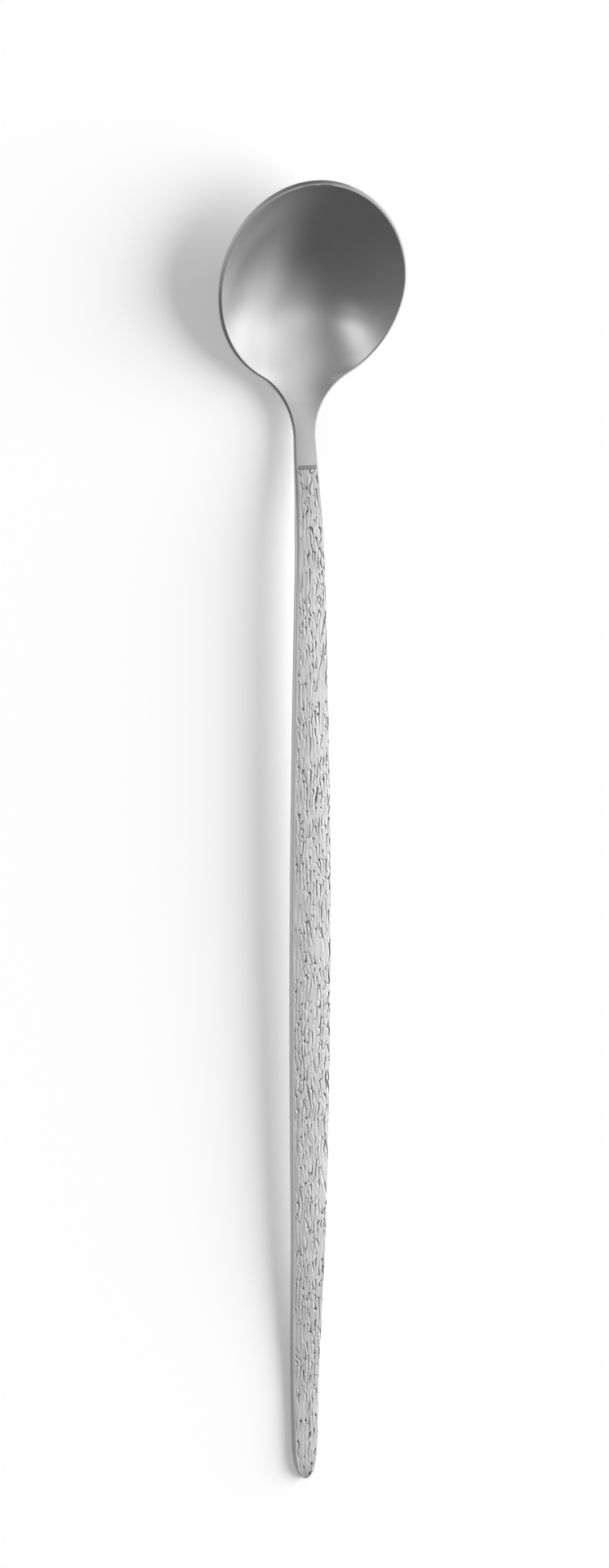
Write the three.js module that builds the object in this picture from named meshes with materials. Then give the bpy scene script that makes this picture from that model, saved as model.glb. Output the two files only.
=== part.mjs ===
// A long-drink spoon. One steel body holds the bowl, the neck and a core bar along the handle.
// Two scales with a bark surface are brazed to the front and the back of that bar.
// Millimetres, +Z up, bowl towards +Y, lying on Z = 0 on its bowl and the back of its handle tip.
import * as THREE from 'three';

// Plan sizes
const overallLength = 220;
const bowlWidth = 33.3;
const bowlNoseLength = 17.6; // widest point of the bowl to its tip
const bowlHeelLength = 17.8; // widest point of the bowl back to where its oval would close
const neckFilletRadius = 12;
const neckWidth = 3.75;
const handleWidth = 6.75;
const handleWidestFromTip = 88;
const handleTipWidth = 3.75;
const handleTipRound = 5.5; // length of the rounded handle end
const endFlatShare = 0.1; // share of the width left square at both ends
const neckLength = 4.75; // smooth neck between the scales' seam and the bowl's fillet

// Rise of the face's edge line, seen from the side
const tipRestLength = 6.5; // flat of the handle's back beyond its rounded end
const kneeFromRest = 33;
const kneeRise = 2.5;
const shoulderFromSeam = 16; // top of the arch, where the handle starts to fall towards the bowl
const shoulderRise = 5.1;
const archFromShoulder = 30;
const archRise = 4.85; // where the handle levels out before the shoulder
const rimRiseAtHeel = 2.7; // rim's climb from the neck's low point to halfway along the heel
const rimRiseAtWidest = 4.6;
const rimRise = 7; // rim's climb from the neck's low point to the bowl's tip

// Thicknesses and depths
const coreThicknessAtTip = 0.3;
const coreThickness = 0.7;
const coreThicknessAtSeam = 0.55;
const neckThickness = 1.7;
const bowlWall = 1.35;
const bowlDepth = 6.6;
const faceCrown = 0.2;
const rimEdgeSide = 0.4; // height of the rim's edge, where the wall is at its thinnest
const rimEdgeTip = 0.65;
const rimBevelSide = 0.4; // how far the rim's inner edge stands in from its outer edge
const rimBevelTip = 0.7;
const restFlatDepth = 0.2; // depth worn off the round of the bowl where it rests

// Scales and their brazed joints
const seamGap = 0.4;
const scaleThickness = 0.6;
const brazeThickness = 0.1;
const brazeInset = 0.2; // braze stops short of the scale's edge
const coreInset = 0.05; // core bar's side stands in from the scale's side

// Fineness of the facets
const pointsAcrossBowl = 15;
const pointsAcrossScale = 7;
const pointsAcrossBraze = 3;
const tipSteps = 5;
const handleSteps = 20;
const neckSteps = 9;
const heelSteps = 12;
const noseSteps = 11;
const filletSolveSteps = 60;
const restSamples = 100;

const bowlHalf = bowlWidth / 2;
const neckHalf = neckWidth / 2;
const bowlCentre = overallLength - bowlNoseLength;

// Where the fillet between neck and bowl starts on the neck and where it touches the bowl's oval.
function neckFillet() {
  let low = 0;
  let high = Math.PI / 2;
  const place = { start: 0, touch: 0 };
  for (let step = 0; step < filletSolveSteps; step += 1) {
    const angle = (low + high) / 2;
    const normal = new THREE.Vector2(-Math.cos(angle) / bowlHeelLength, Math.sin(angle) / bowlHalf);
    normal.normalize();
    const touch = new THREE.Vector2(
      bowlCentre - bowlHeelLength * Math.cos(angle),
      bowlHalf * Math.sin(angle),
    );
    const centre = touch.clone().addScaledVector(normal, neckFilletRadius);
    if (centre.y > neckHalf + neckFilletRadius) high = angle;
    else low = angle;
    place.start = centre.x;
    place.touch = touch.x;
  }
  return place;
}
const fillet = neckFillet();

// Distances from the handle's tip that follow from the sizes
const seam = fillet.start - neckLength;
const scaleEnd = seam - seamGap;
const shoulder = seam - shoulderFromSeam;
const arch = shoulder - archFromShoulder;
const restEnd = handleTipRound + tipRestLength;
const knee = restEnd + kneeFromRest;
const neckLow = (fillet.start + fillet.touch) / 2;
const heelMiddle = (fillet.touch + bowlCentre) / 2;

// Whole thickness of the handle: core bar, two braze layers and two scales
const layersThickness = 2 * (scaleThickness + brazeThickness);
const tipThickness = coreThicknessAtTip + layersThickness;

// Half the plan width at a distance from the handle's tip.
function halfWidth(y) {
  if (y >= bowlCentre) {
    const share = (y - bowlCentre) / bowlNoseLength;
    return bowlHalf * roundEnd(share);
  }
  if (y >= fillet.touch) {
    const share = (bowlCentre - y) / bowlHeelLength;
    return bowlHalf * Math.sqrt(1 - share * share);
  }
  if (y >= fillet.start) {
    const along = y - fillet.start;
    return neckHalf + neckFilletRadius - Math.sqrt(neckFilletRadius ** 2 - along ** 2);
  }
  if (y >= handleWidestFromTip) {
    const share = (fillet.start - y) / (fillet.start - handleWidestFromTip);
    return neckHalf + (handleWidth / 2 - neckHalf) * Math.sin((share * Math.PI) / 2);
  }
  const swell = Math.sin(((y / handleWidestFromTip) * Math.PI) / 2);
  const half = (handleTipWidth + (handleWidth - handleTipWidth) * swell) / 2;
  return half * roundEnd(Math.max(0, 1 - y / handleTipRound));
}

// Width share of a rounded end: whole at share 0, a small flat at share 1.
function roundEnd(share) {
  return Math.sqrt(1 - (1 - endFlatShare ** 2) * share * share);
}

// A smooth curve through the given points that never swings past them.
function smoothCurve(knots) {
  const slopes = knots.map((knot, index) => {
    if (index === 0 || index === knots.length - 1) return 0;
    const before = slopeBetween(knots[index - 1], knot);
    const after = slopeBetween(knot, knots[index + 1]);
    return before * after > 0 ? (2 * before * after) / (before + after) : 0;
  });
  slopes[slopes.length - 1] = slopeBetween(knots[knots.length - 2], knots[knots.length - 1]);
  return (y) => {
    let index = 0;
    while (index < knots.length - 2 && y > knots[index + 1][0]) index += 1;
    const [y0, z0] = knots[index];
    const [y1, z1] = knots[index + 1];
    const run = y1 - y0;
    const s = (y - y0) / run;
    const blend = s * s * (3 - 2 * s);
    const leave = s * (1 - s) * (1 - s) * run * slopes[index];
    const arrive = s * s * (s - 1) * run * slopes[index + 1];
    return z0 + (z1 - z0) * blend + leave + arrive;
  };
}

function slopeBetween(from, to) {
  return (to[1] - from[1]) / (to[0] - from[0]);
}

// Solid thickness under the face, from the handle's tip to the bowl's tip.
const thickness = smoothCurve([
  [0, tipThickness],
  [restEnd, tipThickness],
  [handleWidestFromTip, coreThickness + layersThickness],
  [scaleEnd, coreThicknessAtSeam + layersThickness],
  [fillet.start, neckThickness],
  [bowlCentre, bowlWall],
  [overallLength, bowlWall],
]);

// Depth of the dish along the middle of the bowl. It fades out where the fillet starts.
function dishDepth(y) {
  if (y >= bowlCentre) {
    const share = (y - bowlCentre) / bowlNoseLength;
    return bowlDepth * (1 - share * share);
  }
  const share = Math.min(1, (bowlCentre - y) / (bowlCentre - fillet.start));
  return bowlDepth * (0.5 + 0.5 * Math.cos(share * Math.PI));
}

// Rim's climb above the neck's low point, whose height sets the bowl's bottom on the table.
const rimClimb = smoothCurve([
  [neckLow, 0],
  [heelMiddle, rimRiseAtHeel],
  [bowlCentre, rimRiseAtWidest],
  [overallLength, rimRise],
]);
const bowlSpan = spread(neckLow, overallLength, restSamples);
const bowlDrop = bowlSpan.map((y) => dishDepth(y) + thickness(y) - rimClimb(y));
const neckLowHeight = Math.max(...bowlDrop) - restFlatDepth;

// Height of the face's edge line above the table.
const edgeHeight = smoothCurve([
  [0, tipThickness],
  [restEnd, tipThickness],
  [knee, tipThickness + kneeRise],
  [arch, tipThickness + archRise],
  [shoulder, tipThickness + shoulderRise],
  [neckLow, neckLowHeight],
  [heelMiddle, neckLowHeight + rimRiseAtHeel],
  [bowlCentre, neckLowHeight + rimRiseAtWidest],
  [overallLength, neckLowHeight + rimRise],
]);

// Even steps from one distance to another, both ends included.
function spread(from, to, steps) {
  return [...Array(steps + 1).keys()].map((step) => from + ((to - from) * step) / steps);
}

// Stations that all layers of the handle share: close together round its end, then even to the seam.
const tipStations = spread(0, Math.PI / 2, tipSteps).map((angle) => handleTipRound * (1 - Math.cos(angle)));
const handleStations = [...tipStations, ...spread(restEnd, scaleEnd, handleSteps)];

// One row of points across the part: half its width, its place along the part, and its height.
function row(half, y, count, heightAt) {
  return spread(-1, 1, count - 1).map((u) => {
    return new THREE.Vector3(u * half, y - overallLength / 2, heightAt(u));
  });
}

// A closed body through stations that each hold a top row and a bottom row, left to right.
function loft(stations) {
  const across = stations[0].top.length;
  const positions = [];
  stations.forEach((station) => {
    [...station.top, ...station.bottom].forEach((point) => positions.push(point.x, point.y, point.z));
  });
  const top = (k, i) => k * 2 * across + i;
  const bottom = (k, i) => top(k, i) + across;
  const faces = [];
  const quad = (a, b, c, d) => faces.push(a, b, c, a, c, d);
  const last = stations.length - 1;
  const right = across - 1;
  for (let k = 0; k < last; k += 1) {
    for (let i = 0; i < right; i += 1) {
      quad(top(k, i), top(k, i + 1), top(k + 1, i + 1), top(k + 1, i));
      quad(bottom(k, i), bottom(k + 1, i), bottom(k + 1, i + 1), bottom(k, i + 1));
    }
    quad(bottom(k + 1, 0), bottom(k, 0), top(k, 0), top(k + 1, 0));
    quad(bottom(k, right), bottom(k + 1, right), top(k + 1, right), top(k, right));
  }
  for (let i = 0; i < right; i += 1) {
    quad(bottom(0, i), bottom(0, i + 1), top(0, i + 1), top(0, i));
    quad(bottom(last, i + 1), bottom(last, i), top(last, i), top(last, i + 1));
  }
  const geometry = new THREE.BufferGeometry();
  geometry.setAttribute('position', new THREE.Float32BufferAttribute(positions, 3));
  geometry.setIndex(faces);
  geometry.computeVertexNormals();
  return geometry;
}

// Height of the back of the part, flat across the handle.
function backHeight(y) {
  return edgeHeight(y) - thickness(y);
}

// Levels of the joints, from the front face down and from the back up.
const frontJoint = (y) => edgeHeight(y) - scaleThickness;
const backJoint = (y) => backHeight(y) + scaleThickness;

// A level layer of the handle between two heights, standing in from the handle's side.
function layer(distances, inset, count, topAt, bottomAt) {
  return distances.map((y) => {
    const half = halfWidth(y) - inset;
    return { top: row(half, y, count, () => topAt(y)), bottom: row(half, y, count, () => bottomAt(y)) };
  });
}

// Section of the neck or bowl: a dished face, a slanted rim edge and a wall that thins towards the rim.
function bowlSection(y) {
  const { lerp } = THREE.MathUtils;
  const half = halfWidth(y);
  const nose = Math.max(0, (y - bowlCentre) / bowlNoseLength);
  const dish = dishDepth(y);
  const rimShare = y > bowlCentre ? 1 : dish / bowlDepth;
  const rimEdge = lerp(rimEdgeSide, rimEdgeTip, nose);
  const sideEdge = lerp(thickness(y), rimEdge, rimShare);
  const wall = lerp(thickness(y), sideEdge, nose);
  const hollow = dish - faceCrown * (1 - rimShare);
  const faceHalf = half * (1 - (rimBevelSide / bowlHalf) * rimShare);
  const faceAt = (u) => edgeHeight(y) - hollow * (1 - u * u);
  const backAt = (u) => Math.max(0, edgeHeight(y) - sideEdge - (dish + wall - sideEdge) * (1 - u * u));
  return {
    top: row(faceHalf, y - rimBevelTip * nose, pointsAcrossBowl, faceAt),
    bottom: row(half, y, pointsAcrossBowl, backAt),
  };
}

// Bowl, neck and core bar, from the handle's tip to the bowl's tip.
function bowlNeckCore() {
  const coreTop = (y) => frontJoint(y) - brazeThickness;
  const coreBottom = (y) => backJoint(y) + brazeThickness;
  const barStations = [...handleStations, seam];
  const bar = layer(barStations, coreInset, pointsAcrossBowl, coreTop, coreBottom);
  const neck = spread(seam, fillet.touch, neckSteps);
  const heel = spread(fillet.touch, bowlCentre, heelSteps).slice(1);
  const nose = spread(0, Math.PI / 2, noseSteps).slice(1);
  const noseDistances = nose.map((angle) => bowlCentre + bowlNoseLength * Math.sin(angle));
  return loft([...bar, ...[...neck, ...heel, ...noseDistances].map(bowlSection)]);
}

// A scale: its outer face is crowned on the front and level on the back.
function frontScale() {
  const stations = handleStations.map((y) => {
    const half = halfWidth(y);
    const faceAt = (u) => edgeHeight(y) + faceCrown * (1 - u * u);
    return {
      top: row(half, y, pointsAcrossScale, faceAt),
      bottom: row(half, y, pointsAcrossScale, () => frontJoint(y)),
    };
  });
  return loft(stations);
}

function backScale() {
  return loft(layer(handleStations, 0, pointsAcrossScale, backJoint, backHeight));
}

// A braze layer: it starts where the handle's end is wide enough to hold it.
function braze(topAt, bottomAt) {
  const distances = handleStations.filter((y) => halfWidth(y) > 2 * brazeInset);
  return loft(layer(distances, brazeInset, pointsAcrossBraze, topAt, bottomAt));
}

// Finishes
const satinSteel = new THREE.MeshStandardMaterial({ color: 0xb9babb, roughness: 0.34, metalness: 1 });
const barkSteel = new THREE.MeshStandardMaterial({ color: 0xb0b0b0, roughness: 0.42, metalness: 1 });
const brazeMetal = new THREE.MeshStandardMaterial({ color: 0x8d8c88, roughness: 0.5, metalness: 1 });

function named(name, geometry, material) {
  const mesh = new THREE.Mesh(geometry, material);
  mesh.name = name;
  return mesh;
}

const spoon = new THREE.Group();
spoon.add(
  named('bowl_neck_core', bowlNeckCore(), satinSteel),
  named('front_scale', frontScale(), barkSteel),
  named('back_scale', backScale(), barkSteel),
  named('front_braze', braze(frontJoint, (y) => frontJoint(y) - brazeThickness), brazeMetal),
  named('back_braze', braze((y) => backJoint(y) + brazeThickness, backJoint), brazeMetal),
);

export default spoon;
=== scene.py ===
import math

import bmesh
import bpy
import numpy as np
from mathutils import Matrix, Vector


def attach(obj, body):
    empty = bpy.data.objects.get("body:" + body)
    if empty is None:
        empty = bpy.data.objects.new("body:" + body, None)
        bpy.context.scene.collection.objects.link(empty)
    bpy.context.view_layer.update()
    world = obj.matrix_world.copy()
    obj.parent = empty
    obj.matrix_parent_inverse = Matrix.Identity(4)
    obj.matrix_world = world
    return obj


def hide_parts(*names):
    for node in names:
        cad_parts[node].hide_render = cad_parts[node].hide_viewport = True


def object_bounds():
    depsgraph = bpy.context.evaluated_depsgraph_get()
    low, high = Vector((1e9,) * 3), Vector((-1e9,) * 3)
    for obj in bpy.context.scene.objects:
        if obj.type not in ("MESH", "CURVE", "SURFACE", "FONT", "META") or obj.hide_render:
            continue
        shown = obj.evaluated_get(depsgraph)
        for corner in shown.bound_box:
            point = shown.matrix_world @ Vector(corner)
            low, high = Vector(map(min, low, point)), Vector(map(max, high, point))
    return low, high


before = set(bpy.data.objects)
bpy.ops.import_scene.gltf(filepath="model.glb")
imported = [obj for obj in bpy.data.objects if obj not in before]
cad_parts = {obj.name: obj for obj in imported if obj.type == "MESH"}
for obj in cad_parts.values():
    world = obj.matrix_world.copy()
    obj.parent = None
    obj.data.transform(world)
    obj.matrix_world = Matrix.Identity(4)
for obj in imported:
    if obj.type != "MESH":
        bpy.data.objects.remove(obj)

cad_low, cad_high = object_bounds()
MM = 0.001

# Sizes of the spoon in millimetres, measured along it from the handle's tip. They repeat the solids' sizes.
overall_length = (cad_high.y - cad_low.y) / MM
bowl_half = 16.65
bowl_nose_length = 17.6
bowl_heel_length = 17.8
neck_fillet_radius = 12.0
neck_half = 1.875
handle_half = 3.375
handle_widest = 88.0
handle_tip_half = 1.875
handle_tip_round = 5.5
end_flat_share = 0.03
neck_length = 4.75

tip_rest_length = 6.5
knee_from_rest = 33.0
knee_rise = 2.5
shoulder_from_seam = 16.0
shoulder_rise = 5.1
arch_from_shoulder = 30.0
arch_rise = 4.85
rim_rise_heel = 2.7
rim_rise_widest = 4.6
rim_rise_tip = 7.0

core_at_tip = 0.3
core_thickness = 0.7
core_at_seam = 0.55
neck_thickness = 1.7
bowl_wall = 1.35
bowl_depth = 6.6
face_crown = 0.2
rim_edge_side = 0.4
rim_edge_tip = 0.65
rest_flat_depth = 0.2
seam_gap = 0.4
scale_thickness = 0.6
braze_thickness = 0.1
core_inset = 0.015

# Edges and small forms that only the dressed part has
kink_reach = 4.0
rim_bevel_side = 0.36
rim_bevel_tip = 0.5
rim_drop_side = 0.36
rim_drop_tip = 0.45
rim_land_side = 0.12
rim_land_tip = 0.27
rim_gain = 3.0
lip_ease_heel = 0.08
lip_ease_nose = 0.3
lip_blend_heel = 8.0
lip_blend_nose = 6.0
heel_ease = 0.55
heel_from = 178.0
neck_bevel = 0.27
neck_bevel_drop = 0.27
neck_bevel_blend = 25.0
neck_land = 0.02
neck_side_least = 0.02
neck_clearance = 0.02
belly_width = 0.9
bevel_bulge = 0.12
under_round = 0.25
scale_bevel = 0.11
scale_bevel_drop = 0.19
scale_clearance = 0.004
tip_droop = 0.38
tip_droop_length = 1.6
bark_crown = 1.4
side_lean = 0.03
side_lean_seam = 0.26
side_lean_blend = 12.0
side_lean_limit = 0.3
rest_blend = 0.15
layer_soft = 0.015
braze_inset = 0.01
braze_least_half = 0.4

# Painted shade in the metal's colour, from 0 where it is bright to 1 where it is darkest. The tip's fades
# over its length.
edge_shade = 0.64
neck_side_shade = 0.85
seam_shade = 0.45
tip_shade = 0.22
tip_shade_length = 40.0

# Seam between the neck and the scales: a low bead between two cut lines
seam_cut_depth = 0.12
seam_cut_width = 0.07
upper_cut = -0.06
lower_cut = 0.31
seam_cut_fade = 0.12
bead_height = 0.02
bead_width = 0.1

# Bark relief. A wave is (reach, length), a warp is (reach, noise cell) and a cell is (across, along).
ridge_pitch = 0.6
ridge_depth = 0.045
ridge_least = 0.15
ridge_middle = 0.8
ridge_right = 0.3
ridge_cell = (1.1, 2.6)
steep_from = 0.72
lane_waves = ((0.075, 5.1), (0.055, 2.3))
lane_warps = ((0.55, (1.5, 4.0)), (0.165, (0.8, 1.9)))
phase_range = 6.0
noise_shift = (64.0, 8.0)
noise_columns = 160
noise_spare_rows = 3
crest_height = 0.04
crest_offset = 0.27
crest_width = 0.17
swell_height = 0.07
swell_cell = (1.5, 3.6)
grain_depth = 0.012
grain_cell = (0.16, 0.2)
grain_patch_cell = (1.1, 3.0)
bark_fade_left = 0.3
bark_fade_right = 0.12
bark_fade_edge = 0.1
bark_fade_tip = 0.6
bark_fade_back_tip = 3.0

# Cut lines of the bark. A range is (least, greatest), and chances stand in the order of their choices.
lane_start = (-2.0, 1.5)
lane_scatter = 0.12
cut_chance = 0.8
cut_lengths = ((0.7, 1.8), (1.8, 3.2), (3.2, 5.5))
cut_length_chances = (0.68, 0.28, 0.04)
cut_gaps = ((0.2, 0.65), (0.65, 2.4))
cut_gap_chances = (0.68, 0.32)
cut_line_depth = 0.15
cut_line_width = 0.07
cut_depth_shares = (0.5, 1.0)
cut_width_shares = (0.85, 1.15)
cut_right = 0.3
cut_spacing = 0.06
cut_least_points = 4
cut_lean = 0.09
cut_sway = 0.07
cut_half_waves = (1.0, 2.4)
head_up_chance = 0.72
tail_strength = 0.35
tail_power = (0.5, 1.6)
curl_chance = 0.7
curl_radius = (0.1, 0.27)
curl_side_chances = (0.78, 0.22)
curl_sweep = (0.35, 0.85)
curl_points = 9
curl_end_strength = 0.6
stamp_reach = 0.6
shelter_gain = 1.8

# Pits of the bark. Some sit at the heads of cut lines, and the loose ones are more frequent on the left.
pit_depth = 0.16
pit_radius = 0.12
pit_stretch = 0.8
pit_power = 1.3
head_pit_chance = 0.5
head_pit_depth_shares = (0.6, 1.1)
head_pit_radius_shares = (0.8, 1.3)
loose_pits = 170
loose_pit_power = 0.7
loose_pit_depth_shares = (0.4, 1.0)
loose_pit_radius_shares = (0.6, 1.0)

# Mesh steps in millimetres, counts, and angles in degrees
fillet_rounds = 60
kink_samples = 17
bowl_samples = 101
bevel_points = 7
bowl_columns = 129
seam_step = 0.03
seam_rows_length = 0.4
neck_first_step = 0.1
neck_step = 0.3
heel_rows = 46
nose_rows = 68
nose_first_angle = 1.3
nose_last_angle = 88.8
layer_step = 1.0
layer_columns = 5
layer_tip_angle = 8
layer_tip_rows = 20
bark_tip_angle = 7
bark_tip_rows = 44


def smooth_step(x):
    """Zero up to 0, one from 1 on, and a smooth rise between."""
    x = np.clip(x, 0.0, 1.0)
    return x * x * (3.0 - 2.0 * x)


def lerp(a, b, share):
    """From a to b by a share."""
    return a + (b - a) * share


def smooth_curve(knots):
    """A smooth curve through the given points that never swings past them."""
    ys = np.array([k[0] for k in knots])
    zs = np.array([k[1] for k in knots])
    run = np.diff(ys)
    secant = np.diff(zs) / run
    slope = np.zeros(len(ys))
    for i in range(1, len(ys) - 1):
        before, after = secant[i - 1], secant[i]
        if before * after > 0:
            slope[i] = 2 * before * after / (before + after)
    slope[-1] = secant[-1]

    def value(y):
        y = np.asarray(y, float)
        i = np.clip(np.searchsorted(ys, y) - 1, 0, len(run) - 1)
        s = (y - ys[i]) / run[i]
        blend = s * s * (3 - 2 * s)
        leave = s * (1 - s) ** 2 * run[i] * slope[i]
        arrive = s * s * (s - 1) * run[i] * slope[i + 1]
        return zs[i] + (zs[i + 1] - zs[i]) * blend + leave + arrive

    return value


def softened(curve, reach):
    """The curve's mean over a short stretch to each side, which takes out its kinks."""
    offsets = np.linspace(-1, 1, kink_samples)
    weights = 1 - np.abs(offsets)
    weights = weights / weights.sum()

    def value(y):
        y = np.asarray(y, float)
        span = np.minimum(reach, np.minimum(y, overall_length - y))
        return np.sum(weights * curve(y[..., None] + span[..., None] * offsets), axis=-1)

    return value


# Places along the spoon
bowl_centre = overall_length - bowl_nose_length


def neck_fillet():
    """Where the fillet starts on the neck and where it touches the bowl's oval."""
    low, high = 0.0, math.pi / 2
    for _ in range(fillet_rounds):
        angle = (low + high) / 2
        normal = Vector((-math.cos(angle) / bowl_heel_length, math.sin(angle) / bowl_half)).normalized()
        touch = Vector((bowl_centre - bowl_heel_length * math.cos(angle), bowl_half * math.sin(angle)))
        centre = touch + normal * neck_fillet_radius
        if centre.y > neck_half + neck_fillet_radius:
            high = angle
        else:
            low = angle
    return centre.x, touch.x


fillet_start, fillet_touch = neck_fillet()
seam = fillet_start - neck_length
scale_end = seam - seam_gap
shoulder = seam - shoulder_from_seam
arch = shoulder - arch_from_shoulder
rest_end = handle_tip_round + tip_rest_length
knee = rest_end + knee_from_rest
neck_low = (fillet_start + fillet_touch) / 2
heel_middle = (fillet_touch + bowl_centre) / 2
layers = 2 * (scale_thickness + braze_thickness)
tip_thickness = core_at_tip + layers


def half_width(y):
    """Half the plan width at each distance from the handle's tip."""
    y = np.asarray(y, float)
    flat = 1 - end_flat_share ** 2
    nose = np.clip((y - bowl_centre) / bowl_nose_length, 0, 1)
    heel = np.clip((bowl_centre - y) / bowl_heel_length, 0, 1)
    along = np.clip(y - fillet_start, 0, neck_fillet_radius)
    rise = np.clip((fillet_start - y) / (fillet_start - handle_widest), 0, 1)
    swell = np.sin(np.clip(y / handle_widest, 0, 1) * math.pi / 2)
    end = np.clip(1 - y / handle_tip_round, 0, 1)
    lower = lerp(handle_tip_half, handle_half, swell) * np.sqrt(1 - flat * end * end)
    upper = lerp(neck_half, handle_half, np.sin(rise * math.pi / 2))
    fillet = neck_half + neck_fillet_radius - np.sqrt(neck_fillet_radius ** 2 - along ** 2)
    return np.select(
        [y >= bowl_centre, y >= fillet_touch, y >= fillet_start, y >= handle_widest],
        [bowl_half * np.sqrt(1 - flat * nose * nose), bowl_half * np.sqrt(1 - heel * heel), fillet, upper],
        lower,
    )


def outline_normal(y):
    """Direction that the plan outline faces on the right side, as (x, y)."""
    step = 1e-4
    low = np.clip(y - step, 0, overall_length)
    high = np.clip(y + step, 0, overall_length)
    slope = (half_width(high) - half_width(low)) / (high - low)
    size = np.sqrt(1 + slope * slope)
    return 1 / size, -slope / size


thickness = smooth_curve([
    (0, tip_thickness),
    (rest_end, tip_thickness),
    (handle_widest, core_thickness + layers),
    (scale_end, core_at_seam + layers),
    (fillet_start, neck_thickness),
    (bowl_centre, bowl_wall),
    (overall_length, bowl_wall),
])


def dish_depth(y):
    """How deep the bowl's middle lies below its rim."""
    nose = np.clip((y - bowl_centre) / bowl_nose_length, 0, 1)
    heel = np.clip((bowl_centre - y) / (bowl_centre - fillet_start), 0, 1)
    front = bowl_depth * (1 - nose * nose)
    return np.where(y >= bowl_centre, front, bowl_depth * (0.5 + 0.5 * np.cos(heel * math.pi)))


rim_climb = smooth_curve([
    (neck_low, 0),
    (heel_middle, rim_rise_heel),
    (bowl_centre, rim_rise_widest),
    (overall_length, rim_rise_tip),
])
bowl_span = np.linspace(neck_low, overall_length, bowl_samples)
low_height = np.max(dish_depth(bowl_span) + thickness(bowl_span) - rim_climb(bowl_span)) - rest_flat_depth
edge_height = softened(smooth_curve([
    (0, tip_thickness),
    (rest_end, tip_thickness),
    (knee, tip_thickness + knee_rise),
    (arch, tip_thickness + arch_rise),
    (shoulder, tip_thickness + shoulder_rise),
    (neck_low, low_height),
    (heel_middle, low_height + rim_rise_heel),
    (bowl_centre, low_height + rim_rise_widest),
    (overall_length, low_height + rim_rise_tip),
]), kink_reach)


def back_height(y):
    """Level of the back along the spoon's middle."""
    return edge_height(y) - thickness(y)


def crown_height(y):
    """How much higher the face is in its middle than at its sides."""
    return face_crown * np.minimum(half_width(y) / handle_half, 1) ** 2


def corner_drop(inset, radius):
    """How far a rounded corner falls away at a distance in from the edge."""
    short = np.clip(radius - inset, 0, radius)
    return radius - np.sqrt(np.maximum(radius * radius - short * short, 0))


# Mesh making
def loft(name, faces_rows, edge_left, edge_right, backs_rows, start, end, painted_shade=None):
    """A closed body from stations, each with a face row, two rounded edges and a back row in millimetres.

    A station's ring runs along the face from left to right, down the right edge, back along the other side
    and up the left edge. An end is either flat or round, and a round end carries the edge across it. The
    painted shade is given for the face points and for the edge points, and the back goes on with the
    edge's.
    """
    count, across, _ = faces_rows.shape
    back = backs_rows.shape[1]
    edge = edge_left.shape[1]
    ring = np.concatenate([faces_rows, edge_right, backs_rows[:, ::-1], edge_left[:, ::-1]], axis=1)
    size = ring.shape[1]
    points = [ring.reshape(-1, 3)]
    plain = (np.zeros((count, across)), np.zeros((count, edge)))
    face_shade, edge_shades = plain if painted_shade is None else painted_shade
    back_shade = np.repeat(edge_shades[:, -1:], back, 1)
    shades = [np.concatenate([face_shade, edge_shades, back_shade, edge_shades[:, ::-1]], axis=1).ravel()]
    index = np.arange(count * size).reshape(count, size)
    a = index[:-1]
    b = index[1:]
    quads = np.stack([a, np.roll(a, -1, 1), np.roll(b, -1, 1), b], axis=-1).reshape(-1, 4)
    polygons = quads.tolist()
    total = count * size
    for place, kind in ((0, start), (count - 1, end)):
        first = place == 0
        if kind == "flat":
            loop = index[place].tolist()
            polygons.append(loop[::-1] if first else loop)
            continue
        left = index[place, size - edge:][::-1]
        right = index[place, across:across + edge]
        share = np.linspace(0, 1, across)[1:-1, None]
        rows = [index[place, :across]]
        for k in range(edge):
            inner = lerp(edge_left[place, k], edge_right[place, k], share)
            points.append(inner)
            shades.append(np.full(len(inner), edge_shades[place, k]))
            middle = np.arange(total, total + len(inner))
            total += len(inner)
            rows.append(np.concatenate([[left[k]], middle, [right[k]]]))
        for upper, lower in zip(rows[:-1], rows[1:]):
            for i in range(across - 1):
                cell = [upper[i], upper[i + 1], lower[i + 1], lower[i]]
                polygons.append(cell if first else cell[::-1])
        backs = index[place, across + edge:across + edge + back][::-1]
        if back == across:
            for i in range(across - 1):
                cell = [rows[-1][i], rows[-1][i + 1], backs[i + 1], backs[i]]
                polygons.append(cell if first else cell[::-1])
        else:
            cell = rows[-1].tolist() + backs[::-1].tolist()
            polygons.append(cell if first else cell[::-1])
    verts = np.concatenate(points) * MM
    verts[:, 1] -= overall_length * MM / 2
    mesh = bpy.data.meshes.new(name)
    mesh.from_pydata(verts.tolist(), [], [[int(i) for i in p] for p in polygons])
    # The painted shade goes with the mesh as a point attribute, which darkens the colour.
    if painted_shade is not None:
        mesh.attributes.new("painted_shade", "FLOAT", "POINT").data.foreach_set("value", np.concatenate(shades))
    return mesh


def joined(name, meshes):
    """One mesh that holds the given closed bodies, with all faces turned outwards."""
    whole = bmesh.new()
    for mesh in meshes:
        whole.from_mesh(mesh)
        bpy.data.meshes.remove(mesh)
    bmesh.ops.recalc_face_normals(whole, faces=whole.faces)
    mesh = bpy.data.meshes.new(name)
    whole.to_mesh(mesh)
    whole.free()
    return mesh


def piece(name, mesh, material, node, crease):
    """Puts a mesh in the scene in place of its CAD node."""
    mesh.polygons.foreach_set("use_smooth", np.ones(len(mesh.polygons), bool))
    mesh.set_sharp_from_angle(angle=math.radians(crease))
    mesh.materials.append(material)
    obj = bpy.data.objects.new(name, mesh)
    bpy.context.scene.collection.objects.link(obj)
    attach(obj, "root")
    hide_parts(node)


# Stations along the spoon
def tip_stations(first_angle, count):
    """Stations round the handle's tip, closer together towards its end."""
    angle = np.linspace(math.radians(first_angle), math.pi / 2, count)
    return handle_tip_round * (1 - np.cos(angle))


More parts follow.
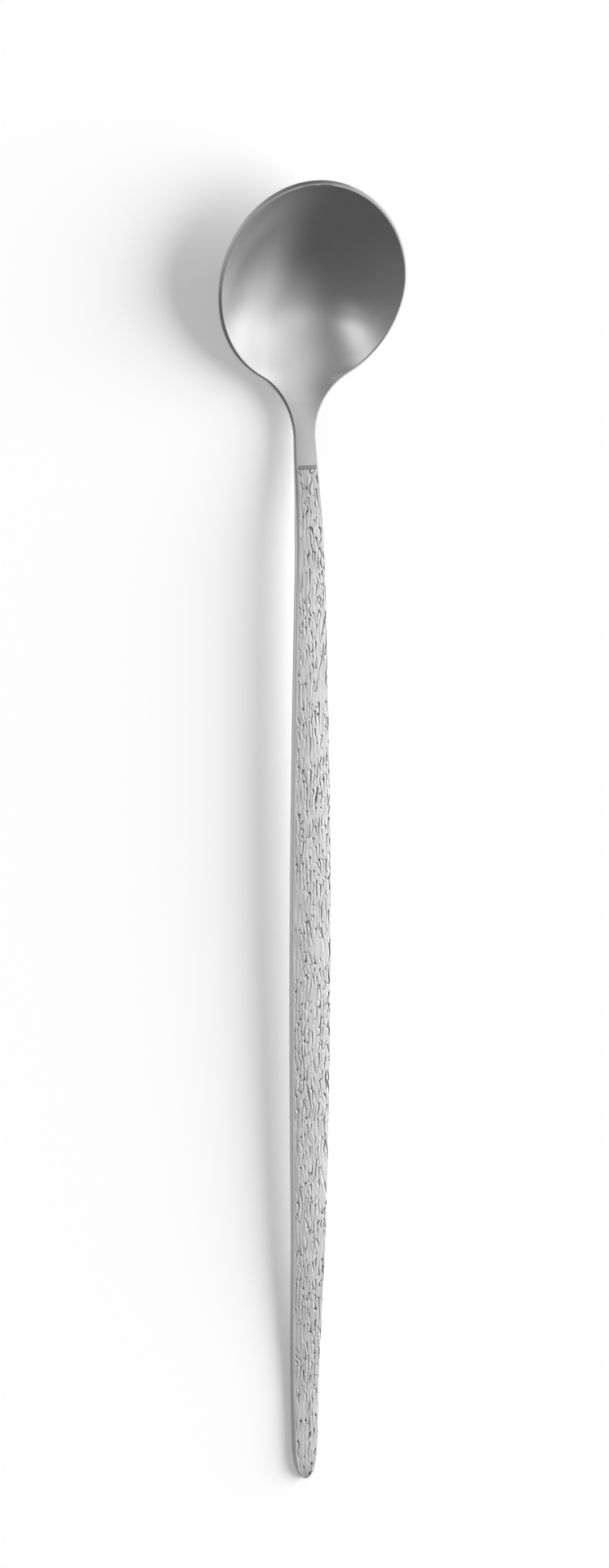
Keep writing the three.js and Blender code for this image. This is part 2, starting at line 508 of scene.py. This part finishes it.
def edge_rows(y, inset, drop, level, side):
    """Rounded edge points of each station, set in along the outline's normal."""
    nx, ny = outline_normal(y)
    x = side * (half_width(y)[:, None] - inset * nx[:, None])
    shifted = y[:, None] - inset * ny[:, None]
    return np.stack([x, shifted, level[:, None] - drop], axis=-1)


def bevel(outer, fall, bulge):
    """Points down a bevelled edge: how far in and how far down. A bulge of one makes it a full round."""
    t = np.linspace(0, 1, bevel_points)
    bulge = bulge[:, None]
    inset = outer[:, None] * (1 - lerp(t, np.sin(t * math.pi / 2), bulge))
    drop = fall[:, None] * lerp(t, 1 - np.cos(t * math.pi / 2), bulge)
    return inset, drop


def eased(share, ease):
    """Square of a share across the bowl, eased so that the wall leans back at the lip."""
    square = share * share
    return square * (1 + ease * (1 - square))


def bowl_and_neck():
    """Smooth front end of the core body: neck, heel and bowl with its rim, up to the bowl's tip."""
    near_seam = np.arange(scale_end + neck_clearance, seam + seam_rows_length, seam_step)
    neck = np.arange(near_seam[-1] + neck_first_step, fillet_touch, neck_step)
    heel = np.linspace(fillet_touch, bowl_centre, heel_rows)
    nose_angle = np.radians(np.linspace(nose_first_angle, nose_last_angle, nose_rows))
    nose = bowl_centre + bowl_nose_length * np.sin(nose_angle)
    y = np.concatenate([near_seam, neck, heel, nose])
    u = np.linspace(-1, 1, bowl_columns)
    half = half_width(y)
    nx, ny = outline_normal(y)
    nose_share = np.clip((y - bowl_centre) / bowl_nose_length, 0, 1)
    dish = dish_depth(y)
    rim_share = np.where(y > bowl_centre, 1, dish / bowl_depth)
    rim = smooth_step(rim_share * rim_gain)
    edge = edge_height(y)
    body = thickness(y)

    # Rounded rim and neck edges
    outer = lerp(neck_bevel, lerp(rim_bevel_side, rim_bevel_tip, nose_share), rim)
    fall = lerp(neck_bevel_drop, lerp(rim_drop_side, rim_drop_tip, nose_share), rim)
    land = outer + lerp(neck_land, lerp(rim_land_side, rim_land_tip, nose_share), rim)
    inset, drop = bevel(outer, fall, np.full(len(y), bevel_bulge))
    left = edge_rows(y, inset, drop, edge, -1)
    right = edge_rows(y, inset, drop, edge, 1)

    # Cut lines and bead at the seam
    fade = smooth_step((1 - np.abs(u)) / seam_cut_fade)
    from_seam = (seam - y)[:, None]
    cuts = np.exp(-((from_seam - upper_cut) / seam_cut_width) ** 2)
    cuts = cuts + np.exp(-((from_seam - lower_cut) / seam_cut_width) ** 2)
    bead = np.exp(-((from_seam - (upper_cut + lower_cut) / 2) / bead_width) ** 2)

    # Inside of the bowl and front of the neck
    heel_way = smooth_step((y - heel_from) / (bowl_centre - heel_from))
    heel_dish = bowl_depth / bowl_half * half * heel_way
    from_touch = smooth_step(smooth_step((y - fillet_touch) / (bowl_centre - fillet_touch)))
    heel_face = lerp(dish, heel_dish, heel_ease * (1 - from_touch))
    nose_face = bowl_depth * (1 - eased(nose_share, lip_ease_nose))
    face_dish = np.where(y > bowl_centre, nose_face, heel_face)
    hollow = face_dish - crown_height(y) * (1 - rim_share)
    lip_way = (y - bowl_centre + lip_blend_heel) / (lip_blend_heel + lip_blend_nose)
    lip_ease = lerp(lip_ease_heel, lip_ease_nose, smooth_step(lip_way))
    face_x = (half - land * nx)[:, None] * u
    face_y = np.repeat((y - land * ny)[:, None], bowl_columns, 1)
    face_z = edge[:, None] - hollow[:, None] * (1 - eased(u, lip_ease[:, None]))
    face_z = face_z + (bead_height * bead - seam_cut_depth * cuts) * fade
    faces = np.stack([face_x, face_y, face_z], axis=-1)

    # Outside of the bowl and rounded belly of the neck, which stay above the table
    rim_edge = lerp(rim_edge_side, rim_edge_tip, nose_share)
    side_edge = lerp(body, rim_edge, rim_share)
    wall = lerp(body, side_edge, nose_share)
    back_x = half[:, None] * u
    back_y = np.repeat(y[:, None], bowl_columns, 1)
    back_z = (edge - side_edge)[:, None] - (dish + wall - side_edge)[:, None] * (1 - u * u)
    belly = corner_drop(half[:, None] * (1 - np.abs(u)), belly_width) / belly_width
    rise = belly * ((body - fall - neck_side_least) * (1 - rim))[:, None]
    back_z = back_z + rise + seam_cut_depth * cuts * fade
    back_z = 0.5 * (back_z + np.sqrt(back_z ** 2 + rest_blend ** 2))
    backs = np.stack([back_x, back_y, back_z], axis=-1)

    # Painted shade on the neck's sides, full up to the fillet and fading out along it
    side_shade = neck_side_shade * (1 - smooth_step((y - fillet_start) / (fillet_touch - fillet_start)))
    edge_shades = side_shade[:, None] * np.linspace(0, 1, bevel_points)
    painted_shade = (np.zeros((len(y), bowl_columns)), edge_shades)
    return loft("bowl_and_neck", faces, left, right, backs, "flat", "round", painted_shade)


def lean_in(y, z):
    """How far the handle's side leans in at a height, below the front scale."""
    lean = lerp(side_lean, side_lean_seam, smooth_step((y - scale_end) / side_lean_blend + 1))
    depth = np.maximum(edge_height(y)[:, None] - z - scale_thickness, 0)
    return np.minimum(lean[:, None] * depth, side_lean_limit * half_width(y)[:, None])


def handle_layer(name, y, inset, top, bottom):
    """A plain layer of the handle between two levels, with small softened edges."""
    levels = np.stack([top(y) - layer_soft, bottom(y) + layer_soft], axis=1)
    drop = edge_height(y)[:, None] - levels
    insets = inset + lean_in(y, levels)
    left = edge_rows(y, insets, drop, edge_height(y), -1)
    right = edge_rows(y, insets, drop, edge_height(y), 1)
    across = np.linspace(0, 1, layer_columns)[None, :, None]

    def flat(level, edge_row):
        rows = lerp(left[:, edge_row][:, None], right[:, edge_row][:, None], across)
        rows[:, :, 0] *= (1 - layer_soft / half_width(y))[:, None]
        rows[:, :, 2] = level(y)[:, None]
        return rows

    return loft(name, flat(top, 0), left, right, flat(bottom, 1), "round", "flat")


def front_joint(y):
    """Level between the front scale and its braze."""
    return edge_height(y) - scale_thickness


def back_joint(y):
    """Level between the back scale and its braze."""
    return back_height(y) + scale_thickness


handle_y = np.concatenate([
    tip_stations(layer_tip_angle, layer_tip_rows),
    np.arange(handle_tip_round + layer_step, scale_end, layer_step),
    [scale_end],
])
core_bar = handle_layer(
    "core_bar",
    np.append(handle_y, scale_end + neck_clearance),
    core_inset,
    lambda y: front_joint(y) - braze_thickness,
    lambda y: back_joint(y) + braze_thickness,
)


# Bark relief
def value_noise(x, y, cell, rng):
    """Smooth noise from 0 to 1 with cells of the given size."""
    gx = x / cell[0] + noise_shift[0]
    gy = y / cell[1] + noise_shift[1]
    ix = np.floor(gx).astype(int)
    iy = np.floor(gy).astype(int)
    table = rng.random((noise_columns, int(iy.max()) + noise_spare_rows))
    fx = smooth_step(gx - ix)
    fy = smooth_step(gy - iy)
    low = lerp(table[ix, iy], table[ix + 1, iy], fx)
    high = lerp(table[ix, iy + 1], table[ix + 1, iy + 1], fx)
    return lerp(low, high, fy)


def patches(x, y, cell, rng, slope, start):
    """Soft patches from 0 to 1, cut out of noise."""
    return smooth_step(slope * value_noise(x, y, cell, rng) - start)


def pick(rng, ranges, chances):
    """A random length out of one of several ranges, each with its own chance."""
    return rng.choice([rng.uniform(*span) for span in ranges], p=chances)


def cut_line_path(rng, lane, y_from, y_to):
    """One cut line as rows of (q, y, strength), and its head, where it is deepest and may curl over."""
    length = y_to - y_from
    t = np.linspace(0, 1, max(cut_least_points, int(length / cut_spacing)))
    lean = rng.normal(0, cut_lean) * length
    sway = rng.normal(0, cut_sway)
    half_waves = rng.uniform(*cut_half_waves)
    phase = rng.uniform(0, phase_range)
    q = lane + lean * (t - 0.5) + sway * np.sin(t * math.pi * half_waves + phase)
    head_up = rng.random() < head_up_chance
    from_tail = t if head_up else 1 - t
    strength = lerp(tail_strength, 1.0, from_tail ** rng.uniform(*tail_power))
    path = [np.stack([q, y_from + length * t, strength], axis=1)]
    if rng.random() < curl_chance:
        radius = rng.uniform(*curl_radius) * rng.choice([-1, 1], p=curl_side_chances)
        angle = np.linspace(0, rng.uniform(*curl_sweep) * math.pi, curl_points)
        place, way, start = (y_to, 1, q[-1]) if head_up else (y_from, -1, q[0])
        curl_q = start + radius * (1 - np.cos(angle))
        curl_y = place + way * abs(radius) * np.sin(angle)
        curl_strength = np.linspace(1, curl_end_strength, curl_points)
        path.append(np.stack([curl_q, curl_y, curl_strength], axis=1))
    head = path[0][-1 if head_up else 0]
    return np.concatenate(path), head


def bark_relief(x, y, seed):
    """Height of the bark over the smooth surface and how sheltered it is, for points in mm. The shelter is
    painted as shade.
    """
    rng = np.random.default_rng(seed)

    # Ridges in lanes, where q is the place across the handle, bent so that the lanes wander
    q = x
    for reach, length in lane_waves:
        q = q + reach * np.sin(y / length + rng.uniform(0, phase_range))
    for reach, cell in lane_warps:
        q = q + reach * (value_noise(x, y, cell, rng) - 0.5)
    lane = q / ridge_pitch
    share = lane - np.floor(lane)
    valley = np.where(share < steep_from, share / steep_from, (1 - share) / (1 - steep_from))
    strength = patches(x, y, ridge_cell, rng, slope=2.0, start=0.5)
    valley = valley * lerp(ridge_least, 1.0, strength)
    height = -ridge_depth * valley * (ridge_middle + ridge_right * x / handle_half)
    lines = np.zeros_like(x)
    crest = np.zeros_like(x)
    pits = np.zeros_like(x)
    y_axis = y[:, x.shape[1] // 2]

    def rows_near(low, high):
        return slice(*np.searchsorted(y_axis, [low - stamp_reach, high + stamp_reach]))

    def stamp(points, depth, width):
        rows = rows_near(points[:, 1].min(), points[:, 1].max())
        if rows.stop <= rows.start:
            return
        dq = q[rows][..., None] - points[:, 0]
        dy = y[rows][..., None] - points[:, 1]
        cut = np.max(points[:, 2] * np.exp(-(dq * dq + dy * dy) / width ** 2), axis=-1)
        lines[rows] = np.maximum(lines[rows], depth * cut)

    def stamp_pit(pit_q, pit_y, depth, radius):
        rows = rows_near(pit_y, pit_y)
        if rows.stop <= rows.start:
            return
        near = (q[rows] - pit_q) ** 2 + (pit_stretch * (y[rows] - pit_y)) ** 2
        pits[rows] = np.maximum(pits[rows], depth * np.exp(-(near / radius ** 2) ** pit_power))

    # Cut lines along each lane, with a crest to the left of each
    lanes = int(handle_half / ridge_pitch) + 1
    for number in range(-lanes, lanes + 1):
        along = rng.uniform(*lane_start)
        while along < scale_end:
            length = pick(rng, cut_lengths, cut_length_chances)
            centre = (number + rng.normal(0, lane_scatter)) * ridge_pitch
            if rng.random() < cut_chance:
                side_gain = 1 + cut_right * centre / handle_half
                depth = cut_line_depth * rng.uniform(*cut_depth_shares) * side_gain
                path, head = cut_line_path(rng, centre, along, along + length)
                stamp(path, depth, cut_line_width * rng.uniform(*cut_width_shares))
                if rng.random() < head_pit_chance:
                    depth = pit_depth * rng.uniform(*head_pit_depth_shares)
                    stamp_pit(head[0], head[1], depth, pit_radius * rng.uniform(*head_pit_radius_shares))
                rows = (y_axis > along) & (y_axis < along + length)
                beside = np.exp(-((q[rows] - centre + crest_offset) / crest_width) ** 2)
                crest[rows] = np.maximum(crest[rows], beside)
            along += length + pick(rng, cut_gaps, cut_gap_chances)

    # Loose pits, fine grain and a slow swell
    for _ in range(loose_pits):
        stamp_pit(
            handle_half * (1 - 2 * rng.random() ** loose_pit_power),
            rng.uniform(0, scale_end),
            pit_depth * rng.uniform(*loose_pit_depth_shares),
            pit_radius * rng.uniform(*loose_pit_radius_shares),
        )
    grain = value_noise(x, y, grain_cell, rng)
    grain = grain * patches(x, y, grain_patch_cell, rng, slope=2.2, start=0.9)
    swell = value_noise(x, y, swell_cell, rng) - 0.5
    cuts = np.maximum(lines, pits)
    height = height + swell_height * swell + crest_height * crest - cuts - grain_depth * grain
    # How deep a point sits in the cut lines and pits, which the colour shows as painted shade
    shelter = np.clip(shelter_gain * cuts / cut_line_depth, 0, 1)
    return height, shelter


def scale(name, front, across, step, seed):
    """A brazed-on scale with a rounded edge and a bark face that runs to the handle's rounded tip."""
    y = np.concatenate([
        tip_stations(bark_tip_angle, bark_tip_rows),
        np.arange(handle_tip_round + step, scale_end - 0.5 * step, step),
        [scale_end - scale_clearance],
    ])
    u = np.linspace(-1, 1, across)
    half = half_width(y)
    nx, ny = outline_normal(y)
    sign = 1 if front else -1
    level = edge_height(y) if front else back_height(y)
    joint = front_joint(y) if front else back_joint(y)
    near_seam = smooth_step((y - scale_end) / neck_bevel_blend + 1)
    near_tip = 1 - smooth_step(y / tip_shade_length)

    # Rounded edges
    if front:
        level = level - tip_droop * np.clip(1 - y / tip_droop_length, 0, 1) ** 2
        radius = lerp(scale_bevel, neck_bevel, near_seam)
        fall = lerp(scale_bevel_drop, neck_bevel_drop, near_seam)
        bulge = np.full(len(y), bevel_bulge)
    else:
        radius = np.full(len(y), under_round)
        fall = radius
        bulge = np.ones(len(y))
    radius = np.minimum(radius, 0.5 * half)
    inset, drop = bevel(radius, fall, bulge)
    inset = inset + lean_in(y, level[:, None] - sign * drop)
    left = edge_rows(y, inset[:, 1:], sign * drop[:, 1:], level, -1)
    right = edge_rows(y, inset[:, 1:], sign * drop[:, 1:], level, 1)

    # Bark face, with its relief fading out at the edges and the tip
    flat_half = half - inset[:, 0] * nx
    x = flat_half[:, None] * u
    along = np.repeat((y - inset[:, 0] * ny)[:, None], across, 1)
    height, shelter = bark_relief(x, along, seed)
    from_left = (x + flat_half[:, None]) / bark_fade_left
    from_right = (flat_half[:, None] - x) / bark_fade_right
    from_tip = along / (bark_fade_tip if front else bark_fade_back_tip)
    fade = smooth_step(np.minimum(np.minimum(from_left, from_right) + bark_fade_edge, from_tip))
    crown = bark_crown * crown_height(y) if front else np.zeros(len(y))
    z = np.maximum(level[:, None] + sign * (crown[:, None] * (1 - u * u) + height * fade), 0)
    faces = np.stack([x, along, z], axis=-1)

    # Flat side on the braze
    base = lean_in(y, joint[:, None])
    level_drop = (level - joint)[:, None]
    backs = np.stack([edge_rows(y, base, level_drop, level, side)[:, 0] for side in (-1, 1)], axis=1)

    # Painted shade on the edges, and on the face in the cut lines and near its ends
    near_end = np.maximum(near_seam, near_tip)
    edge_shades = edge_shade * lerp(near_end[:, None], 1.0, np.linspace(0, 1, bevel_points)[1:])
    end_shade = (seam_shade * near_seam + tip_shade * near_tip)[:, None]
    painted_shade = (lerp(end_shade, 1.0, shelter * fade), edge_shades)
    return loft(name, faces, left, right, backs, "round", "flat", painted_shade)


# Materials
def new_material(name):
    """A new material with one Principled shader."""
    material = bpy.data.materials.new(name)
    material.use_nodes = True
    nodes = material.node_tree.nodes
    nodes.clear()
    output = nodes.new("ShaderNodeOutputMaterial")
    shader = nodes.new("ShaderNodeBsdfPrincipled")
    material.node_tree.links.new(shader.outputs["BSDF"], output.inputs["Surface"])
    return material, shader


def add_noise(material, stretch, size, detail):
    """Noise in the object's own space. Size is the width of a cell in metres."""
    nodes, links = material.node_tree.nodes, material.node_tree.links
    place = nodes.new("ShaderNodeTexCoord")
    mapping = nodes.new("ShaderNodeMapping")
    mapping.inputs["Scale"].default_value = stretch
    noise = nodes.new("ShaderNodeTexNoise")
    noise.inputs["Scale"].default_value = 1 / size
    noise.inputs["Detail"].default_value = detail
    links.new(place.outputs["Object"], mapping.inputs["Vector"])
    links.new(mapping.outputs["Vector"], noise.inputs["Vector"])
    return noise.outputs["Fac"]


def add_ramp(material, factor, stops):
    """A colour ramp whose stops are (place, grey level or colour)."""
    nodes, links = material.node_tree.nodes, material.node_tree.links
    ramp = nodes.new("ShaderNodeValToRGB")
    elements = ramp.color_ramp.elements
    while len(elements) < len(stops):
        elements.new(0.5)
    for element, (place, colour) in zip(elements, stops):
        element.position = place
        element.color = (colour, colour, colour, 1) if isinstance(colour, float) else (*colour, 1)
    links.new(factor, ramp.inputs["Fac"])
    return ramp.outputs["Color"]


def add_range(material, factor, low, high):
    """A factor from 0 to 1 spread between two values."""
    nodes, links = material.node_tree.nodes, material.node_tree.links
    node = nodes.new("ShaderNodeMapRange")
    node.inputs["To Min"].default_value = low
    node.inputs["To Max"].default_value = high
    links.new(factor, node.inputs["Value"])
    return node.outputs["Result"]


def add_bump(material, shader, height, strength, distance):
    """Fine relief for the shader. The distance is in metres."""
    nodes, links = material.node_tree.nodes, material.node_tree.links
    bump = nodes.new("ShaderNodeBump")
    bump.inputs["Strength"].default_value = strength
    bump.inputs["Distance"].default_value = distance
    links.new(height, bump.inputs["Height"])
    links.new(bump.outputs["Normal"], shader.inputs["Normal"])


def add_painted_shade(material):
    """How much painted shade a point has, as its mesh says."""
    painted_shade = material.node_tree.nodes.new("ShaderNodeAttribute")
    painted_shade.attribute_name = "painted_shade"
    return painted_shade.outputs["Fac"]


def shaded(material, tone, dark):
    """A tone that falls to a dark grey where the mesh carries painted shade."""
    nodes, links = material.node_tree.nodes, material.node_tree.links
    mix = nodes.new("ShaderNodeMixRGB")
    mix.inputs["Color2"].default_value = (dark, dark, dark, 1)
    links.new(add_painted_shade(material), mix.inputs["Fac"])
    links.new(tone, mix.inputs["Color1"])
    return mix.outputs["Color"]


def satin_steel():
    """Satin stainless steel: a fine lengthwise finish with faint cloudiness, and painted shade on the
    neck's sides.
    """
    material, shader = new_material("satin_steel")
    links = material.node_tree.links
    cloud = add_noise(material, stretch=(1, 0.6, 1), size=0.004, detail=3)
    brush = add_noise(material, stretch=(1, 0.06, 1), size=0.00018, detail=3)
    tone = add_ramp(material, cloud, [(0.3, 0.64), (0.7, 0.68)])
    links.new(shaded(material, tone, dark=0.3), shader.inputs["Base Color"])
    links.new(add_range(material, brush, low=0.15, high=0.21), shader.inputs["Roughness"])
    shader.inputs["Metallic"].default_value = 1.0
    add_bump(material, shader, brush, strength=0.06, distance=0.00002)
    return material


def bark_steel():
    """The scales' etched steel, with painted shade: dark down in the cut lines and pits, on the sides and
    near the ends.
    """
    material, shader = new_material("bark_steel")
    links = material.node_tree.links
    grain = add_noise(material, stretch=(1, 0.3, 1), size=0.00025, detail=3)
    # Painted shade: the colour falls from bright steel to dark grey where the mesh carries shade
    tone = add_ramp(material, add_painted_shade(material), [(0.0, 0.97), (0.4, 0.7), (0.9, 0.12)])
    links.new(tone, shader.inputs["Base Color"])
    links.new(add_range(material, grain, low=0.14, high=0.22), shader.inputs["Roughness"])
    shader.inputs["Metallic"].default_value = 0.66
    add_bump(material, shader, grain, strength=0.12, distance=0.00003)
    return material


def braze_metal():
    """Silver braze: a little darker and duller than the steel, with a faint mottle."""
    material, shader = new_material("braze_metal")
    links = material.node_tree.links
    mottle = add_noise(material, stretch=(1, 0.4, 1), size=0.0006, detail=3)
    tone = add_ramp(material, mottle, [(0.3, (0.6, 0.595, 0.575)), (0.7, (0.7, 0.695, 0.675))])
    links.new(tone, shader.inputs["Base Color"])
    links.new(add_range(material, mottle, low=0.3, high=0.4), shader.inputs["Roughness"])
    shader.inputs["Metallic"].default_value = 1.0
    add_bump(material, shader, mottle, strength=0.1, distance=0.00002)
    return material


satin = satin_steel()
bark = bark_steel()
silver = braze_metal()

# Pieces. The front scale is the finer one, because it is the one in view.
core_mesh = joined("core_body", [bowl_and_neck(), core_bar])
piece("core_body", core_mesh, satin, "bowl_neck_core", crease=28)
front_face = scale("front_bark_face", front=True, across=78, step=0.166, seed=11)
piece("front_bark", joined("front_bark", [front_face]), bark, "front_scale", crease=55)
back_face = scale("back_bark_face", front=False, across=66, step=0.26, seed=19)
piece("back_bark", joined("back_bark", [back_face]), bark, "back_scale", crease=55)
braze_y = handle_y[half_width(handle_y) > braze_least_half]
for side, upper, lower in (
    ("front", front_joint, lambda y: front_joint(y) - braze_thickness),
    ("back", lambda y: back_joint(y) + braze_thickness, back_joint),
):
    layer = handle_layer(side, braze_y, braze_inset, upper, lower)
    braze_mesh = joined(side + "_braze_line", [layer])
    piece(side + "_braze_line", braze_mesh, silver, side + "_braze", crease=30)


# Studio. Lamp angles are in degrees, and the floor's reach and level are in metres.
floor_reach = 0.25
floor_level = -0.00002
floor_white = 0.92
floor_lift = 0.2
key_share = 0.55
ambient = 0.31
key_azimuth = 6.0
key_elevation = 30.0
key_spread = 60.0
room_level = 0.117

# Soft lamps that the metal mirrors: azimuth, elevation and half angle in degrees, and strength. The azimuth
# turns from the right towards the bowl's tip, and at its half angle a lamp is down to half its strength.
soft_lamps = {
    "right, near the handle": (-45, 7, 16, 0.11),
    "right, low": (-4, 7, 13, 0.75),
    "right, at mid height": (-17, 24, 19, 0.48),
    "right, towards the bowl's tip": (23, 22, 20, 1.1),
    "overhead": (18, 63, 24, 0.62),
    "left, high, small": (195, 62, 8, 0.22),
    "left, high, small and bright": (153, 61, 8, 1.0),
    "left, low and wide": (152, 7, 36, 0.53),
}


def make_floor():
    """White paper that keeps the shadow, with a glow for what sees or mirrors it."""
    mesh = bpy.data.meshes.new("floor")
    signs = ((-1, -1), (1, -1), (1, 1), (-1, 1))
    corners = [(floor_reach * x, floor_reach * y, floor_level) for x, y in signs]
    mesh.from_pydata(corners, [], [(0, 1, 2, 3)])
    material = bpy.data.materials.new("floor")
    material.use_nodes = True
    tree = material.node_tree
    tree.nodes.clear()
    output = tree.nodes.new("ShaderNodeOutputMaterial")
    paper = tree.nodes.new("ShaderNodeBsdfDiffuse")
    paper.inputs["Color"].default_value = (floor_white, floor_white, floor_white, 1)
    glow = tree.nodes.new("ShaderNodeEmission")
    path = tree.nodes.new("ShaderNodeLightPath")
    seen = path.outputs["Is Camera Ray"]
    for kind in ("Is Glossy Ray", "Is Transmission Ray"):
        either = tree.nodes.new("ShaderNodeMath")
        either.operation = "MAXIMUM"
        tree.links.new(seen, either.inputs[0])
        tree.links.new(path.outputs[kind], either.inputs[1])
        seen = either.outputs["Value"]
    strength = tree.nodes.new("ShaderNodeMath")
    strength.operation = "MULTIPLY"
    strength.inputs[1].default_value = floor_lift
    tree.links.new(seen, strength.inputs[0])
    tree.links.new(strength.outputs["Value"], glow.inputs["Strength"])
    both = tree.nodes.new("ShaderNodeAddShader")
    tree.links.new(paper.outputs["BSDF"], both.inputs[0])
    tree.links.new(glow.outputs["Emission"], both.inputs[1])
    tree.links.new(both.outputs["Shader"], output.inputs["Surface"])
    mesh.materials.append(material)
    floor = bpy.data.objects.new("floor", mesh)
    bpy.context.scene.collection.objects.link(floor)


def direction(azimuth, elevation):
    """Unit vector towards a lamp."""
    a, e = math.radians(azimuth), math.radians(elevation)
    return Vector((math.cos(e) * math.cos(a), math.cos(e) * math.sin(a), math.sin(e)))


def make_key():
    """A large soft lamp on the right that throws the shadow to the left."""
    light = bpy.data.lights.new("key", "SUN")
    light.angle = math.radians(key_spread)
    light.energy = key_share * math.pi / math.sin(math.radians(key_elevation))
    lamp = bpy.data.objects.new("key", light)
    towards = direction(key_azimuth, key_elevation)
    lamp.rotation_euler = towards.to_track_quat("Z", "Y").to_euler()
    lamp.visible_glossy = False
    bpy.context.scene.collection.objects.link(lamp)


def make_world():
    """White to the camera, a dim room with soft lamps for the metal to mirror, and even light otherwise."""
    world = bpy.data.worlds.new("studio")
    bpy.context.scene.world = world
    world.use_nodes = True
    tree = world.node_tree
    tree.nodes.clear()

    def math_node(operation, a, b=None):
        node = tree.nodes.new("ShaderNodeMath")
        node.operation = operation
        for socket, value in zip(node.inputs, (a, b)):
            if value is None:
                continue
            if isinstance(value, float):
                socket.default_value = value
            else:
                tree.links.new(value, socket)
        return node.outputs["Value"]

    place = tree.nodes.new("ShaderNodeTexCoord")
    split = tree.nodes.new("ShaderNodeSeparateXYZ")
    tree.links.new(place.outputs["Generated"], split.inputs["Vector"])
    room = room_level
    for azimuth, elevation, half_angle, strength in soft_lamps.values():
        tightness = math.log(2) / (1 - math.cos(math.radians(half_angle)))
        facing = -1.0
        for axis, amount in zip("XYZ", direction(azimuth, elevation)):
            facing = math_node("ADD", math_node("MULTIPLY", split.outputs[axis], amount), facing)
        glow = math_node("EXPONENT", math_node("MULTIPLY", facing, tightness))
        room = math_node("ADD", math_node("MULTIPLY", glow, strength), room)
    path = tree.nodes.new("ShaderNodeLightPath")
    mix = tree.nodes.new("ShaderNodeMix")
    tree.links.new(path.outputs["Is Glossy Ray"], mix.inputs["Factor"])
    mix.inputs["A"].default_value = ambient
    tree.links.new(room, mix.inputs["B"])
    white = tree.nodes.new("ShaderNodeMix")
    tree.links.new(path.outputs["Is Camera Ray"], white.inputs["Factor"])
    tree.links.new(mix.outputs["Result"], white.inputs["A"])
    white.inputs["B"].default_value = 1.0
    background = tree.nodes.new("ShaderNodeBackground")
    background.inputs["Color"].default_value = (1, 1, 1, 1)
    tree.links.new(white.outputs["Result"], background.inputs["Strength"])
    output = tree.nodes.new("ShaderNodeOutputWorld")
    tree.links.new(background.outputs["Background"], output.inputs["Surface"])


# Camera at the photograph's viewing angle, aimed a few millimetres off the frame's origin
image_height = 1920
pixels_per_mm = 7.345
lens = 400.0
sensor = 36.0
turn = math.radians(21.0)
tip = math.radians(8.7)
roll = math.radians(0.3675)
aim_right = 0.93
aim_up = 7.555


def make_camera():
    """A long lens far away, so that the view is almost parallel."""
    level_right = Vector((math.cos(turn), 0, math.sin(turn)))
    level_up = Vector((math.sin(tip) * math.sin(turn), math.cos(tip), -math.sin(tip) * math.cos(turn)))
    back = Vector((-math.sin(turn) * math.cos(tip), math.sin(tip), math.cos(turn) * math.cos(tip)))
    right = level_right * math.cos(roll) - level_up * math.sin(roll)
    up = level_right * math.sin(roll) + level_up * math.cos(roll)
    distance = image_height / sensor * lens / pixels_per_mm
    place = (right * aim_right + up * aim_up + back * distance) * MM
    camera = bpy.data.cameras.new("camera")
    camera.lens = lens
    camera.sensor_width = sensor
    camera.clip_start = 0.1
    camera.clip_end = 20.0
    obj = bpy.data.objects.new("camera", camera)
    matrix = Matrix((right, up, back)).transposed().to_4x4()
    matrix.translation = place
    obj.matrix_world = matrix
    bpy.context.scene.collection.objects.link(obj)
    bpy.context.scene.camera = obj


make_floor()
make_key()
make_world()
make_camera()
bpy.context.scene.view_settings.view_transform = "Standard"

bpy.context.view_layer.update()
